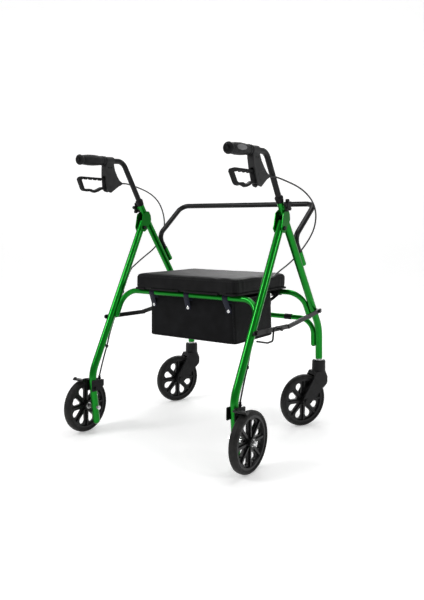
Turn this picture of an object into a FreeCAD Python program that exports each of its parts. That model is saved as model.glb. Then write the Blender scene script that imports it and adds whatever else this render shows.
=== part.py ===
import FreeCAD, Part

import math
import os

from FreeCAD import Vector as V

# Rollator walker, in millimetres. +X is the user's right, +Y is the direction of travel, +Z is up.
# The origin is on the floor, under the middle of the bounding box. The user walks and pushes from -Y.

# Driving dimensions
SIDE_X = 293.3            # middle plane of each side frame
TUBE_R = 12.7             # one-inch frame tube
TUBE_WALL = 1.2
THIN_R = 9.525            # three-quarter-inch handle and backrest tube
THIN_WALL = 1.5
WHEEL_R = 95.25           # 7.5-inch wheels
WHEEL_X = 339.3           # middle plane of each rear wheel
FIT = 0.05                # radial clearance of a running fit

REAR_AXLE = V(0, -254, WHEEL_R)
CASTER_Y = 315.8          # caster stems
CASTER_TRAIL = 71.25
CASTER_TURN = {1: 26.18, -1: 19.63}   # degrees that each caster is swivelled at rest

FRONT_LEAN = math.radians(35.4)
FRONT_MID = V(0, 175.5, 548.9)        # a point on the front legs' long run
FRONT_BEND_Z = 360.5
FRONT_TOP_Z = 762
FRONT_FOOT = V(0, CASTER_Y, 244.2)
PIVOT = V(0, 0.5, 722)                # fold pivot, on the rear legs' long run
REAR_LEAN = math.radians(27.69)
REAR_BEND = V(0, -265.2, 215.6)
REAR_FOOT = V(0, -248.5, 46)
HANDLE_LEAN = math.radians(32.2)
HANDLE_MID = V(0, -45.8, 876.5)       # a point on the handle tubes' long run
HANDLE_FOOT_Z = 755
HANDLE_BEND_Z = 954.9
GRIP_END = V(0, -306.9, 944.1)
HOUSING_TILT = 6                      # degrees that each brake housing leans outward

RAIL_R = THIN_R                       # three-quarter-inch rails between the side frames
RAIL_BEND = 57
REAR_RAIL_Z = 497.5
REAR_RAIL_IN, REAR_RAIL_FORWARD = 12, 13.5     # rail axis from the rear legs' axis
FRONT_RAIL_Z = 494.4
FRONT_RAIL_IN, FRONT_RAIL_FORWARD = 20.9, -8   # rail axis from the front legs' axis
BRACE_Z = 390
BRACE_IN = TUBE_R + RAIL_R - 0.3

SEAT_HALF = 217
SEAT_BACK, SEAT_FRONT = -138, 216
PAN_Z = 507.6
PAN_THICK = 6
SEAT_TOP = 561.4

BAG_HALF = 179.2
BAG_BACK, BAG_FRONT = -82, 165.5
BAG_BOTTOM, BAG_TOP = 346.5, 500
BAG_WALL = 2.5

ARM_REAR = V(0, -165.9, 404.9)        # folding side arm: pivot on the rear leg
ARM_MID = V(0, 31, 401)               # its centre joint, left open
ARM_FRONT_Z = 428
CABLE_R = 2.5

os.makedirs("parts", exist_ok=True)


def down(lean):
    """Unit vector down and forward along a run that leans by an angle from vertical."""
    return V(0, math.sin(lean), -math.cos(lean))


def on_line(point, direction, z):
    """The point of a line at a height."""
    return point + direction * ((z - point.z) / direction.z)


FRONT_DOWN = down(FRONT_LEAN)
REAR_DOWN = down(-REAR_LEAN)
HANDLE_DOWN = down(HANDLE_LEAN)


def front_axis(z):
    return on_line(FRONT_MID, FRONT_DOWN, z)


def rear_axis(z):
    return on_line(PIVOT, REAR_DOWN, z)


def handle_axis(z):
    return on_line(HANDLE_MID, HANDLE_DOWN, z)


def at_side(point, x=SIDE_X):
    return V(x, point.y, point.z)


def mirrored(shape):
    return shape.mirror(V(0, 0, 0), V(1, 0, 0))


def both(shape):
    """A right-hand solid and its mirror image, as separate solids of one node."""
    return Part.makeCompound(shape.Solids + mirrored(shape).Solids)


def save(name, shape):
    """Write one node."""
    solids = [s for s in shape.Solids]
    shape = solids[0] if len(solids) == 1 else Part.makeCompound(solids)
    shape.exportStep("parts/%s.step" % name)


def save_sides(name, shape):
    save(name + "_right", shape)
    save(name + "_left", mirrored(shape))


def rounded_path(points, radius=None):
    """Straight runs joined by tangent arcs. With no radius, each arc is as large as its runs allow."""
    edges, last = [], points[0]
    for before, corner, after in zip(points, points[1:], points[2:]):
        back, ahead = before - corner, after - corner
        turn = math.pi - back.getAngle(ahead)
        r = radius or 0.45 * min(back.Length, ahead.Length) / math.tan(turn / 2)
        reach = r * math.tan(turn / 2)
        back.normalize()
        ahead.normalize()
        start, end = corner + back * reach, corner + ahead * reach
        bisector = (back + ahead).normalize()
        middle = corner + bisector * (r / math.cos(turn / 2) - r)
        edges.append(Part.LineSegment(last, start).toShape())
        edges.append(Part.Arc(start, middle, end).toShape())
        last = end
    edges.append(Part.LineSegment(last, points[-1]).toShape())
    return Part.Wire(edges)


def swept(points, r, radius=None):
    """A round bar of radius r along a rounded path."""
    path = rounded_path(points, radius)
    along = points[1] - points[0]
    ring = Part.Wire(Part.makeCircle(r, points[0], along))
    return Part.Solid(path.makePipeShell([ring], True, False))


def rod(start, end, r):
    along = end - start
    return Part.makeCylinder(r, along.Length, start, along)


def tube(points, r, wall, radius):
    """A bent tube with open ends."""
    return swept(points, r, radius).cut(swept(points, r - wall, radius))


def domed_tube(points, r, wall, radius, both_ends=True):
    """A bent tube closed by domes, each with a vent hole, so that the bore opens to the outside."""
    outer, inner = swept(points, r, radius), swept(points, r - wall, radius)
    vent = 3
    ends = [(points[-1], points[-1] - points[-2])]
    if both_ends:
        ends.append((points[0], points[0] - points[1]))
    for point, out in ends:
        outer = outer.fuse(Part.makeSphere(r, point))
        inner = inner.fuse(Part.makeCylinder(vent, 2 * r, point, out))
    return outer.cut(inner).removeSplitter()


def across(x0, x1, point, r):
    """A cylinder along X through a point of the side plane."""
    return Part.makeCylinder(r, x1 - x0, V(x0, point.y, point.z), V(1, 0, 0))


def plate(outline, x0, x1):
    """A flat plate between two X planes, from (y, z) corners."""
    corners = [V(x0, y, z) for y, z in outline]
    face = Part.Face(Part.makePolygon(corners + corners[:1]))
    return face.extrude(V(x1 - x0, 0, 0))


def soft_plate(outline, x0, x1, r):
    """A plate with its corners rounded."""
    solid = plate(outline, x0, x1)
    edges = [e for e in solid.Edges if abs(e.tangentAt(e.FirstParameter).x) > 0.99]
    return solid.makeFillet(r, edges)


def stadium(a, b, r, x0, x1):
    """A flat link with round ends about two points of the side plane."""
    along = (b - a).normalize()
    side = V(0, -along.z, along.y) * r
    corners = [a + side, b + side, b - side, a - side]
    link = plate([(p.y, p.z) for p in corners], x0, x1)
    return link.fuse([across(x0, x1, a, r), across(x0, x1, b, r)]).removeSplitter()


def hexagon(across_flats, x0, x1, point):
    r = across_flats / math.sqrt(3)
    turns = [math.radians(60 * i) for i in range(6)]
    return plate([(point.y + r * math.cos(a), point.z + r * math.sin(a)) for a in turns], x0, x1)


def turned(profile, origin, axis):
    """A solid of revolution from (distance along the axis, radius) corners."""
    corners = [V(s, 0, r) for s, r in profile]
    face = Part.Face(Part.makePolygon(corners + corners[:1]))
    solid = face.revolve(V(0, 0, 0), V(1, 0, 0), 360)
    solid = Part.Solid(solid) if solid.ShapeType != "Solid" else solid
    solid.Placement = FreeCAD.Placement(origin, FreeCAD.Rotation(V(1, 0, 0), axis))
    return solid


# ---------------------------------------------------------------- frame tubes

ARM_FRONT = front_axis(ARM_FRONT_Z)
BOLT_R = 4
REAR_TOP = PIVOT - REAR_DOWN * 22


def front_leg():
    points = [front_axis(FRONT_TOP_Z), front_axis(FRONT_BEND_Z), FRONT_FOOT]
    leg = tube([at_side(p) for p in points], TUBE_R, TUBE_WALL, 120)
    return leg.cut(across(SIDE_X, SIDE_X + 20, ARM_FRONT, BOLT_R + FIT))


def rear_leg():
    points = [at_side(p) for p in (REAR_TOP, REAR_BEND, REAR_FOOT)]
    leg = domed_tube(points, TUBE_R, TUBE_WALL, 110, both_ends=False)
    for point in (PIVOT, REAR_AXLE):
        leg = leg.cut(across(SIDE_X - 20, SIDE_X + 20, point, BOLT_R + FIT))
    leg = leg.cut(across(SIDE_X, SIDE_X + 20, ARM_REAR, BOLT_R + FIT))
    return leg.cut(across(SIDE_X - 20, SIDE_X + 20, BRAKE_BOLT, BRAKE_BOLT_R + FIT))


def leg_plug():
    """The plug that closes a rear leg's top end."""
    up = REAR_DOWN * -1
    top = at_side(REAR_TOP)
    cap = Part.makeCylinder(TUBE_R - 0.3, 2.5, top + up * 0.1, up)
    return cap.fuse(Part.makeCylinder(TUBE_R - TUBE_WALL - 0.1, 8, top - up * 8, up))


def cross_rail(leg, direction, end_z, inward, forward=0):
    """A U-shaped rail. Its ends run down beside the legs, and are coped to fit against them."""
    mid = leg + V(0, forward, 0)
    end = on_line(mid, direction, end_z)
    x = SIDE_X - inward
    corners = [at_side(end, -x), at_side(mid, -x), at_side(mid, x), at_side(end, x)]
    rail = domed_tube(corners, RAIL_R, TUBE_WALL, RAIL_BEND)
    for side in (SIDE_X, -SIDE_X):
        start = at_side(leg - direction * 60, side)
        rail = rail.cut(rod(start, start + direction * 220, TUBE_R - 0.1))
    return rail


def front_brace():
    bend = front_axis(FRONT_BEND_Z)
    direction = (FRONT_FOOT - bend).normalize()
    return cross_rail(on_line(bend, direction, BRACE_Z), direction, 296, BRACE_IN)


# ---------------------------------------------------------------- top pivot and handle collar

COLLAR_R = 11.2
COLLAR_TOP_Z, COLLAR_FOOT_Z = 804.4, 767
PLATE_IN, PLATE_OUT = 13.1, 15.7
KNOB_Z = 794
STUD_R = 3


def weld(start, end, tube_r):
    """A weld strip that joins a tube to both pivot plates."""
    along = end - start
    half = 3
    box = Part.makeBox(2 * PLATE_IN, 2 * half, along.Length, V(-PLATE_IN, -half, 0))
    box = box.cut(Part.makeBox(2 * tube_r - 0.6, 2 * half, along.Length, V(0.3 - tube_r, -half, 0)))
    lean = math.degrees(math.atan2(along.y, -along.z))
    turn = FreeCAD.Rotation(V(1, 0, 0), 180 + lean)
    box.Placement = FreeCAD.Placement(at_side(start), turn)
    return box


def pivot_bracket():
    """The two side plates that carry the collar, the front leg's top and the fold pivot."""
    outline = [(-15, 722), (-10, 709), (4, 706), (14, 713), (41, 749), (38, 767), (29, 781), (16, 782),
               (-4, 770)]
    plates = [soft_plate(outline, SIDE_X + a, SIDE_X + b, 4)
              for a, b in ((-PLATE_OUT, -PLATE_IN), (PLATE_IN, PLATE_OUT))]
    strips = [weld(handle_axis(779), handle_axis(768), COLLAR_R)]
    strips.append(weld(front_axis(760), front_axis(742), TUBE_R))
    solid = plates[0].fuse([plates[1]] + strips)
    return solid.cut(across(SIDE_X - 20, SIDE_X + 20, PIVOT, BOLT_R + FIT))


def handle_collar():
    """The short tube that the handle telescopes in, with the knob's threaded boss."""
    ends = [at_side(handle_axis(z)) for z in (COLLAR_TOP_Z, COLLAR_FOOT_Z)]
    boss = across(SIDE_X + COLLAR_R - 1, SIDE_X + COLLAR_R + 6, handle_axis(KNOB_Z), 7)
    collar = rod(ends[0], ends[1], COLLAR_R).fuse(boss)
    past = HANDLE_DOWN * 5
    collar = collar.cut(rod(ends[0] - past, ends[1] + past, THIN_R + FIT))
    return collar.cut(across(SIDE_X, SIDE_X + 40, handle_axis(KNOB_Z), STUD_R + FIT))


def collar_sleeve():
    """The moulded bush on the collar's top end."""
    up = HANDLE_DOWN * -1
    foot = at_side(handle_axis(COLLAR_TOP_Z))
    bore = THIN_R + FIT
    profile = [(0.1, bore), (0.1, 11.8), (3, 12.4), (14, 13.8), (18.5, 13.8), (21, 11.4), (21, bore)]
    return turned(profile, foot, up)


def frame_bolts():
    """Fold-pivot bolts and the side arms' front bolts."""
    pivot = across(SIDE_X - 22, SIDE_X + 17, PIVOT, BOLT_R)
    pivot = pivot.fuse(hexagon(13, SIDE_X + PLATE_OUT + 0.1, SIDE_X + 21, PIVOT))
    pivot = pivot.fuse(hexagon(13, SIDE_X - 22, SIDE_X - PLATE_OUT - 0.1, PIVOT))
    arm = across(SIDE_X + 5, ARM_X + 8, ARM_FRONT, BOLT_R)
    arm = arm.fuse(across(SIDE_X + TUBE_R + 0.1, ARM_X - 0.1, ARM_FRONT, 8))
    arm = arm.fuse(across(ARM_X + ARM_THICK + 0.2, ARM_X + 9.5, ARM_FRONT, 7))
    return Part.makeCompound([pivot, arm])


def star_knob():
    """Five-lobed knob on a threaded stud."""
    centre = handle_axis(KNOB_Z)
    face = SIDE_X + 19
    knob = across(face, face + 11, centre, 11.5).fuse(across(face - 1.5, face, centre, 7))
    for i in range(5):
        turn = math.radians(102 + 72 * i)
        lobe = centre + V(0, math.cos(turn), math.sin(turn)) * 15
        knob = knob.fuse(across(face + 1, face + 10, lobe, 5.8))
    return knob.fuse(across(SIDE_X + THIN_R + 0.3, face, centre, STUD_R)).removeSplitter()


# ---------------------------------------------------------------- backrest

SOCKET_R = 11.5
SOCKET_TOP_Z, SOCKET_FOOT_Z = 643, 598
ACROSS_FRONT = V(0, math.cos(FRONT_LEAN), math.sin(FRONT_LEAN))
POST_OFFSET = ACROSS_FRONT * (TUBE_R + SOCKET_R - 0.2)
BACK_BAR = V(0, 252, 807)
BACK_CORNER = V(0, 104.3, 690.5)


def post_axis(z):
    return on_line(FRONT_MID + POST_OFFSET, FRONT_DOWN, z)


def backrest_socket():
    ends = [at_side(post_axis(z)) for z in (SOCKET_TOP_Z, SOCKET_FOOT_Z)]
    past = FRONT_DOWN * 5
    return rod(ends[0], ends[1], SOCKET_R).cut(rod(ends[0] - past, ends[1] + past, THIN_R + FIT))


def backrest_bar():
    side = [at_side(post_axis(606)), at_side(BACK_CORNER), at_side(BACK_BAR)]
    points = side + [V(-p.x, p.y, p.z) for p in reversed(side)]
    return tube(points, THIN_R, THIN_WALL, 32)


# ---------------------------------------------------------------- seat and bag

CLAMP_X0, CLAMP_X1 = 154, 190
STRAPS_X = (-152, -2, 156)
FRONT_RAIL = front_axis(FRONT_RAIL_Z) + V(0, FRONT_RAIL_FORWARD, 0)
REAR_RAIL = rear_axis(REAR_RAIL_Z) + V(0, REAR_RAIL_FORWARD, 0)


def block(x, y0, y1, z0, z1, corner, edge=0):
    """A cushion-like block, symmetric in X, with rounded corners and an optional rounded top edge."""
    solid = Part.makeBox(2 * x, y1 - y0, z1 - z0, V(-x, y0, z0))
    upright = [e for e in solid.Edges if abs(e.tangentAt(e.FirstParameter).z) > 0.99]
    solid = solid.makeFillet(corner, upright)
    if edge:
        top = [e for e in solid.Edges if min(v.Z for v in e.Vertexes) > z1 - 0.01]
        solid = solid.makeFillet(edge, top)
    return solid


def seat_pan():
    """Seat board, notched at its back edge for the bag's straps."""
    pan = block(SEAT_HALF - 5, SEAT_BACK + 5, SEAT_FRONT - 3, PAN_Z, PAN_Z + PAN_THICK, 14)
    for x in STRAPS_X:
        pan = pan.cut(Part.makeBox(28, 46, 20, V(x - 14, SEAT_BACK, PAN_Z - 5)))
    return pan


def seat_cushion():
    return block(SEAT_HALF, SEAT_BACK, SEAT_FRONT, PAN_Z + PAN_THICK + 0.2, SEAT_TOP, 18, 10)


def seat_clamp():
    """The clip that hinges the seat pan on the front rail."""
    outer = across(CLAMP_X0, CLAMP_X1, FRONT_RAIL, RAIL_R + 3.6)
    ear = Part.makeBox(CLAMP_X1 - CLAMP_X0, 34, 18, V(CLAMP_X0, FRONT_RAIL.y - 44, PAN_Z - 18))
    neck = outer.fuse(ear)
    top = Part.makeBox(100, 100, 40, V(CLAMP_X0 - 20, FRONT_RAIL.y - 60, PAN_Z - 0.1))
    under = Part.makeBox(100, 40, 14, V(CLAMP_X0 - 20, FRONT_RAIL.y - 62, PAN_Z - 18.1))
    neck = neck.cut(top).cut(under.cut(outer))
    return neck.cut(across(CLAMP_X0 - 1, CLAMP_X1 + 1, FRONT_RAIL, RAIL_R + FIT))


def bag():
    """Open-topped bag with two loops on the front rail."""
    outer = block(BAG_HALF, BAG_BACK, BAG_FRONT, BAG_BOTTOM, BAG_TOP, 14)
    inner = block(BAG_HALF - BAG_WALL, BAG_BACK + BAG_WALL, BAG_FRONT - BAG_WALL,
                  BAG_BOTTOM + BAG_WALL, BAG_TOP + 10, 12)
    shell = outer.cut(inner)
    for x in (-150, 126):
        loop = across(x, x + 24, FRONT_RAIL, RAIL_R + 2.2)
        tail = Part.makeBox(24, FRONT_RAIL.y - BAG_FRONT, 2, V(x, BAG_FRONT - 1, FRONT_RAIL.z - RAIL_R - 2))
        loop = loop.fuse(tail).cut(across(x, x + 24, FRONT_RAIL, RAIL_R + 0.3))
        shell = shell.fuse(loop)
    return shell


def bag_straps():
    """Three webbing straps that hang from the rear rail, with their snap buttons."""
    straps = []
    for x in STRAPS_X:
        loop = across(x - 11, x + 11, REAR_RAIL, RAIL_R + 2)
        snap = V(x, BAG_BACK - 2.2, 446)
        top = (REAR_RAIL.y - 6.6, REAR_RAIL.z - 7.9)
        web = plate([top, (top[0] + 1.2, top[1] + 1), (snap.y + 0.9, 455), (snap.y + 0.9, 436),
                     (snap.y - 0.6, 436), (snap.y - 0.6, 454)], x - 11, x + 11)
        button = Part.makeCylinder(6, 2.4, snap + V(0, -0.2, 0), V(0, -1, 0))
        strap = loop.fuse([web, button])
        straps.append(strap.cut(across(x - 12, x + 12, REAR_RAIL, RAIL_R + 0.3)))
    return Part.makeCompound(straps)


# ---------------------------------------------------------------- wheels

RIM_R = 82
HUB_R, HUB_HALF = 17, 16.8
BEARING_R, BEARING_W = 11, 7
SPOKES = 8


def wheel_rim():
    """Moulded rim about the X axis: hub, web with teardrop windows, ribs and rim band."""
    band = turned([(-11, 74), (-11, RIM_R), (11, RIM_R), (11, 74), (4, 71), (-4, 71)], V(0, 0, 0), V(1, 0, 0))
    rim = band.fuse([Part.makeCylinder(73, 8, V(-4, 0, 0), V(1, 0, 0)),
                     Part.makeCylinder(HUB_R, 2 * HUB_HALF, V(-HUB_HALF, 0, 0), V(1, 0, 0))])
    for i in range(SPOKES):
        rib = Part.makeBox(18, 6, 60, V(-9, -3, 14))
        rib.rotate(V(0, 0, 0), V(1, 0, 0), 360 / SPOKES * i)
        rim = rim.fuse(rib)
    for i in range(SPOKES):
        centre = V(0, 0, 56)
        point = V(0, 0, 25)
        r = 13
        lean = math.asin(r / (centre - point).Length)
        touch = V(0, r * math.cos(lean), 56 - r * math.sin(lean))
        drop = plate([(0, point.z), (touch.y, touch.z), (-touch.y, touch.z)], -20, 20)
        drop = drop.fuse(Part.makeCylinder(r, 40, V(-20, 0, centre.z), V(1, 0, 0)))
        drop.rotate(V(0, 0, 0), V(1, 0, 0), 360 / SPOKES * (i + 0.5))
        rim = rim.cut(drop)
    rim = rim.cut(Part.makeCylinder(BEARING_R + FIT, 4 * HUB_HALF, V(-2 * HUB_HALF, 0, 0), V(1, 0, 0)))
    return rim.removeSplitter()


def tyre():
    """Solid tyre about the X axis, with a crowned tread and a groove in each side wall."""
    half = [(0, WHEEL_R), (5, WHEEL_R - 0.3), (9.5, WHEEL_R - 1.8), (12.4, WHEEL_R - 4.6),
            (13.6, WHEEL_R - 8)]
    half += [(13.4, 85.6), (12.2, 85.2), (12.2, 84.2), (13.2, 83.8), (12.4, RIM_R)]
    profile = half + [(-s, r) for s, r in reversed(half[1:])]
    return turned(profile, V(0, 0, 0), V(1, 0, 0))


def bearing():
    ring = Part.makeCylinder(BEARING_R, BEARING_W, V(0, 0, 0), V(1, 0, 0))
    return ring.cut(Part.makeCylinder(BOLT_R + FIT, BEARING_W, V(0, 0, 0), V(1, 0, 0)))


def bearings(centre_x):
    """The two bearings in a hub."""
    return [bearing().translate(V(centre_x + s, 0, 0)) for s in (-HUB_HALF + 0.5, HUB_HALF - 0.5 - BEARING_W)]


def rear_wheels():
    place = V(WHEEL_X, REAR_AXLE.y, REAR_AXLE.z)
    save_sides("rim_rear", wheel_rim().translate(place))
    save_sides("tyre_rear", tyre().translate(place))


def rear_axle():
    """Axle bolt with a domed head outside, spacer, nut and the two hub bearings."""
    head_x = WHEEL_X + HUB_HALF + 0.6
    end_x = WHEEL_X + 28.8
    bolt = across(SIDE_X - 22, head_x + 1, REAR_AXLE, BOLT_R)
    head = turned([(0, 0), (0, 9), (5, 8.4), (end_x - head_x - 1.5, 5.5), (end_x - head_x, 0)],
                  V(head_x, REAR_AXLE.y, REAR_AXLE.z), V(1, 0, 0))
    spacer = across(SIDE_X + TUBE_R + 0.1, WHEEL_X - HUB_HALF - 0.4, REAR_AXLE, 8)
    nut = hexagon(13, SIDE_X - 21, SIDE_X - TUBE_R - 0.1, REAR_AXLE)
    inner = [b.translate(V(0, REAR_AXLE.y, REAR_AXLE.z)) for b in bearings(WHEEL_X)]
    return Part.makeCompound([bolt.fuse([head, spacer, nut])] + inner)


# ---------------------------------------------------------------- casters, built facing +Y about their stem

FORK_TOP = 238.7
FORK_HALF, POCKET_HALF = 25, 17.3
STEM_R = 6
FORK_NOSE = 33.45


def caster_fork():
    axle = V(0, -CASTER_TRAIL, WHEEL_R)
    web = [(-25, 199), (25, 199), (25.5, 186), (FORK_NOSE, 174), (FORK_NOSE, 168), (17, 148), (-56, 82), (-85, 106)]
    arms = plate(web, -FORK_HALF, FORK_HALF).fuse(across(-FORK_HALF, FORK_HALF, axle, 15.5))
    head = turned([(0, 0), (0, 25), (38, 24.4), (42.7, 22), (42.7, 0)], V(0, 0, FORK_TOP - 42.7), V(0, 0, 1))
    skirt = turned([(0, 0), (0, FORK_NOSE), (40, FORK_NOSE), (62, 25), (62, 0)], V(0, 0, 137), V(0, 0, 1))
    boss = arms.common(skirt.fuse(Part.makeBox(80, 120, 140, V(-40, -120, 70))))
    fork = boss.fuse(head)
    fork = fork.cut(across(-POCKET_HALF, POCKET_HALF, axle, WHEEL_R + 5))
    fork = fork.cut(Part.makeBox(2 * POCKET_HALF, 90, 90, V(-POCKET_HALF, -CASTER_TRAIL - 90, 60)))
    fork = fork.cut(across(-FORK_HALF - 1, FORK_HALF + 1, axle, BOLT_R + FIT))
    return fork.cut(Part.makeCylinder(STEM_R + FIT, 60, V(0, 0, 202))).removeSplitter()


def caster_axle():
    """Bolt, nut and the two hub bearings of one caster wheel."""
    axle = V(0, -CASTER_TRAIL, WHEEL_R)
    bolt = across(-FORK_HALF - 5, FORK_HALF + 5, axle, BOLT_R)
    bolt = bolt.fuse([across(FORK_HALF + 0.1, FORK_HALF + 5, axle, 8),
                      hexagon(13, -FORK_HALF - 6, -FORK_HALF - 0.1, axle)])
    inner = [b.translate(V(0, axle.y, axle.z)) for b in bearings(0)]
    return Part.makeCompound([bolt] + inner)


def caster_stem():
    """Stem bolt with its bearing cap and the insert that holds it in the leg."""
    stem = Part.makeCylinder(STEM_R, 56, V(0, 0, 203))
    seat = V(0, 0, FORK_TOP + 0.3)
    cap = Part.makeCylinder(17, 2.4, seat).fuse(Part.makeCylinder(11, 5.2, seat))
    foot = V(0, 0, FRONT_FOOT.z)
    up = (front_axis(FRONT_BEND_Z) - FRONT_FOOT).normalize()
    insert = rod(foot + up * 2, foot + up * 18, TUBE_R - TUBE_WALL - FIT)
    return stem.fuse([cap, insert])


def swivelled(shape, side):
    shape = shape.copy()
    shape.rotate(V(0, 0, 0), V(0, 0, 1), -CASTER_TURN[side])
    return shape.translate(V(side * SIDE_X, CASTER_Y, 0))


def casters():
    stems = []
    for side, name in ((1, "right"), (-1, "left")):
        save("caster_fork_" + name, swivelled(caster_fork(), side))
        save("caster_axle_" + name, swivelled(caster_axle(), side))
        hub = V(0, -CASTER_TRAIL, WHEEL_R)
        save("rim_front_" + name, swivelled(wheel_rim().translate(hub), side))
        save("tyre_front_" + name, swivelled(tyre().translate(hub), side))
        stems.append(caster_stem().translate(V(side * SIDE_X, CASTER_Y, 0)))
    save("caster_stems", Part.makeCompound(stems))



# ---------------------------------------------------------------- rear brakes

BRAKE_BOLT_R = 3
BRAKE_BOLT = V(0, -264.6, 166)
BRAKE_PIVOT = V(0, -238, 176)
BRAKE_PIN_R = 3


def brake_bracket():
    """U-shaped bracket bolted to the rear leg, with the arm's pivot pin."""
    outline = [(-281, 196), (-224, 192), (-224, 170), (-244, 156), (-281, 156)]
    cheeks = [soft_plate(outline, SIDE_X + a, SIDE_X + b, 4) for a, b in ((-16, -13.1), (13.1, 16))]
    web = Part.makeBox(32, 10, 17, V(SIDE_X - 16, -236, 170))
    bolt = across(SIDE_X - 21, SIDE_X + 19, BRAKE_BOLT, BRAKE_BOLT_R)
    nuts = [hexagon(10, SIDE_X - 21, SIDE_X - 16, BRAKE_BOLT),
            hexagon(10, SIDE_X + 16, SIDE_X + 20, BRAKE_BOLT)]
    pin = across(SIDE_X + 14, SIDE_X + 25, BRAKE_PIVOT, BRAKE_PIN_R)
    return cheeks[0].fuse([cheeks[1], web, bolt, pin] + nuts).removeSplitter()


def brake_arm():
    """Arm that presses a cross bar on the tyre."""
    x0 = SIDE_X + 16.4
    arm = stadium(BRAKE_PIVOT, V(0, -284, 193.2), 7, x0, x0 + 5)
    bar = soft_plate([(-297, 196.5), (-297, 190.3), (-278, 190.3), (-278, 196.5)], x0, WHEEL_X + 17, 2.6)
    stop = across(WHEEL_X + 12, WHEEL_X + 17, V(0, -287.5, 194), 6.2)
    return arm.fuse([bar, stop]).cut(across(x0 - 1, x0 + 8, BRAKE_PIVOT, BRAKE_PIN_R + FIT)).removeSplitter()


def brake_spring():
    """Return spring: a coil about the pivot pin with one leg forward."""
    coil = across(SIDE_X + 21.8, SIDE_X + 25.2, BRAKE_PIVOT, 6)
    coil = coil.cut(across(SIDE_X + 20, SIDE_X + 27, BRAKE_PIVOT, 4.4))
    start = V(SIDE_X + 23.5, BRAKE_PIVOT.y + 3, BRAKE_PIVOT.z - 4)
    return coil.fuse(rod(start, V(SIDE_X + 23.5, BRAKE_PIVOT.y + 30, BRAKE_PIVOT.z - 14), 1))


# ---------------------------------------------------------------- side arms

ARM_X = SIDE_X + 18.7
ARM_THICK = 5
ARM_R = 7.5
BAIL_PIVOT = V(0, -29, 402.2)
BAIL_X = SIDE_X + 29.2
BAIL_R = 2.9


def arm_front():
    """Front link: from the front leg to the centre joint, with the joint's rivet head."""
    tip = ARM_FRONT + (ARM_FRONT - ARM_MID).normalize() * 9
    link = stadium(ARM_MID, tip, ARM_R, ARM_X, ARM_X + ARM_THICK)
    link = link.fuse(across(ARM_X + ARM_THICK, ARM_X + ARM_THICK + 2, ARM_MID, 6))
    return link.cut(across(ARM_X - 1, ARM_X + 20, ARM_FRONT, BOLT_R + FIT))


def arm_rear():
    """Rear link: from the rear leg to the centre joint."""
    tip = ARM_REAR + (ARM_REAR - ARM_MID).normalize() * 9
    x1 = ARM_X - 0.4
    link = stadium(tip, ARM_MID, ARM_R, x1 - ARM_THICK, x1)
    return link.cut(across(x1 - 20, x1 + 1, ARM_REAR, BOLT_R + FIT))


def arm_rear_with_pin():
    return arm_rear().fuse(across(ARM_X - 2, BAIL_X + 3.5, BAIL_PIVOT, 2.5))


def arm_bolt():
    """The side arm's bolt on the rear leg."""
    bolt = across(SIDE_X + 5, ARM_X + 4, ARM_REAR, BOLT_R)
    return bolt.fuse(across(ARM_X - 0.1, ARM_X + 5, ARM_REAR, 7))


def wire_bail():
    """Bent wire that locks the right side arm, on a pin of the rear link."""
    tail = [(7, 404.5), (-29, 409), (-62, 413), (-82, 408), (-87, 371), (-120, 370), (-184, 384)]
    points = [V(BAIL_X, y, z) for y, z in tail]
    eye = across(BAIL_X - BAIL_R + 0.2, BAIL_X + BAIL_R - 0.2, BAIL_PIVOT, 7)
    return swept(points, BAIL_R, 9).fuse(eye).cut(across(BAIL_X - 5, BAIL_X + 5, BAIL_PIVOT, 2.5 + FIT))


# ---------------------------------------------------------------- handles

BEND = handle_axis(HANDLE_BEND_Z)
TO_BEND = (BEND - GRIP_END).normalize()
TILT_CENTRE = V(SIDE_X, -170, 951)
LEVER_PIVOT = V(0, -161, 863)
LEVER_PIN_R = 2.5
LEVER_HALF = 6


def handle_tube():
    points = [at_side(handle_axis(HANDLE_FOOT_Z)), at_side(BEND), at_side(GRIP_END + TO_BEND * 5)]
    return tube(points, THIN_R, THIN_WALL, 42)


def grip():
    """Bulged rubber grip with an end flange and two rings."""
    outer = [(0, 0), (0, 13), (1.5, 16.5), (5, 17.5), (9, 16.4), (12, 14.8), (20, 16), (40, 17.9), (62, 18.3)]
    outer += [(84, 17), (103, 14.9), (106, 16.2), (110, 16.2), (112, 14.2), (116, 14), (118, 15.4)]
    outer += [(121.5, 15.4)]
    solid = turned(outer + [(121.5, 0)], at_side(GRIP_END), TO_BEND)
    inside = at_side(GRIP_END) + TO_BEND * 4.5
    return solid.cut(rod(inside, inside + TO_BEND * 130, THIN_R + FIT))


def tilted(shape):
    shape = shape.copy()
    shape.rotate(TILT_CENTRE, V(0, 1, 0), -HOUSING_TILT)
    return shape


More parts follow.
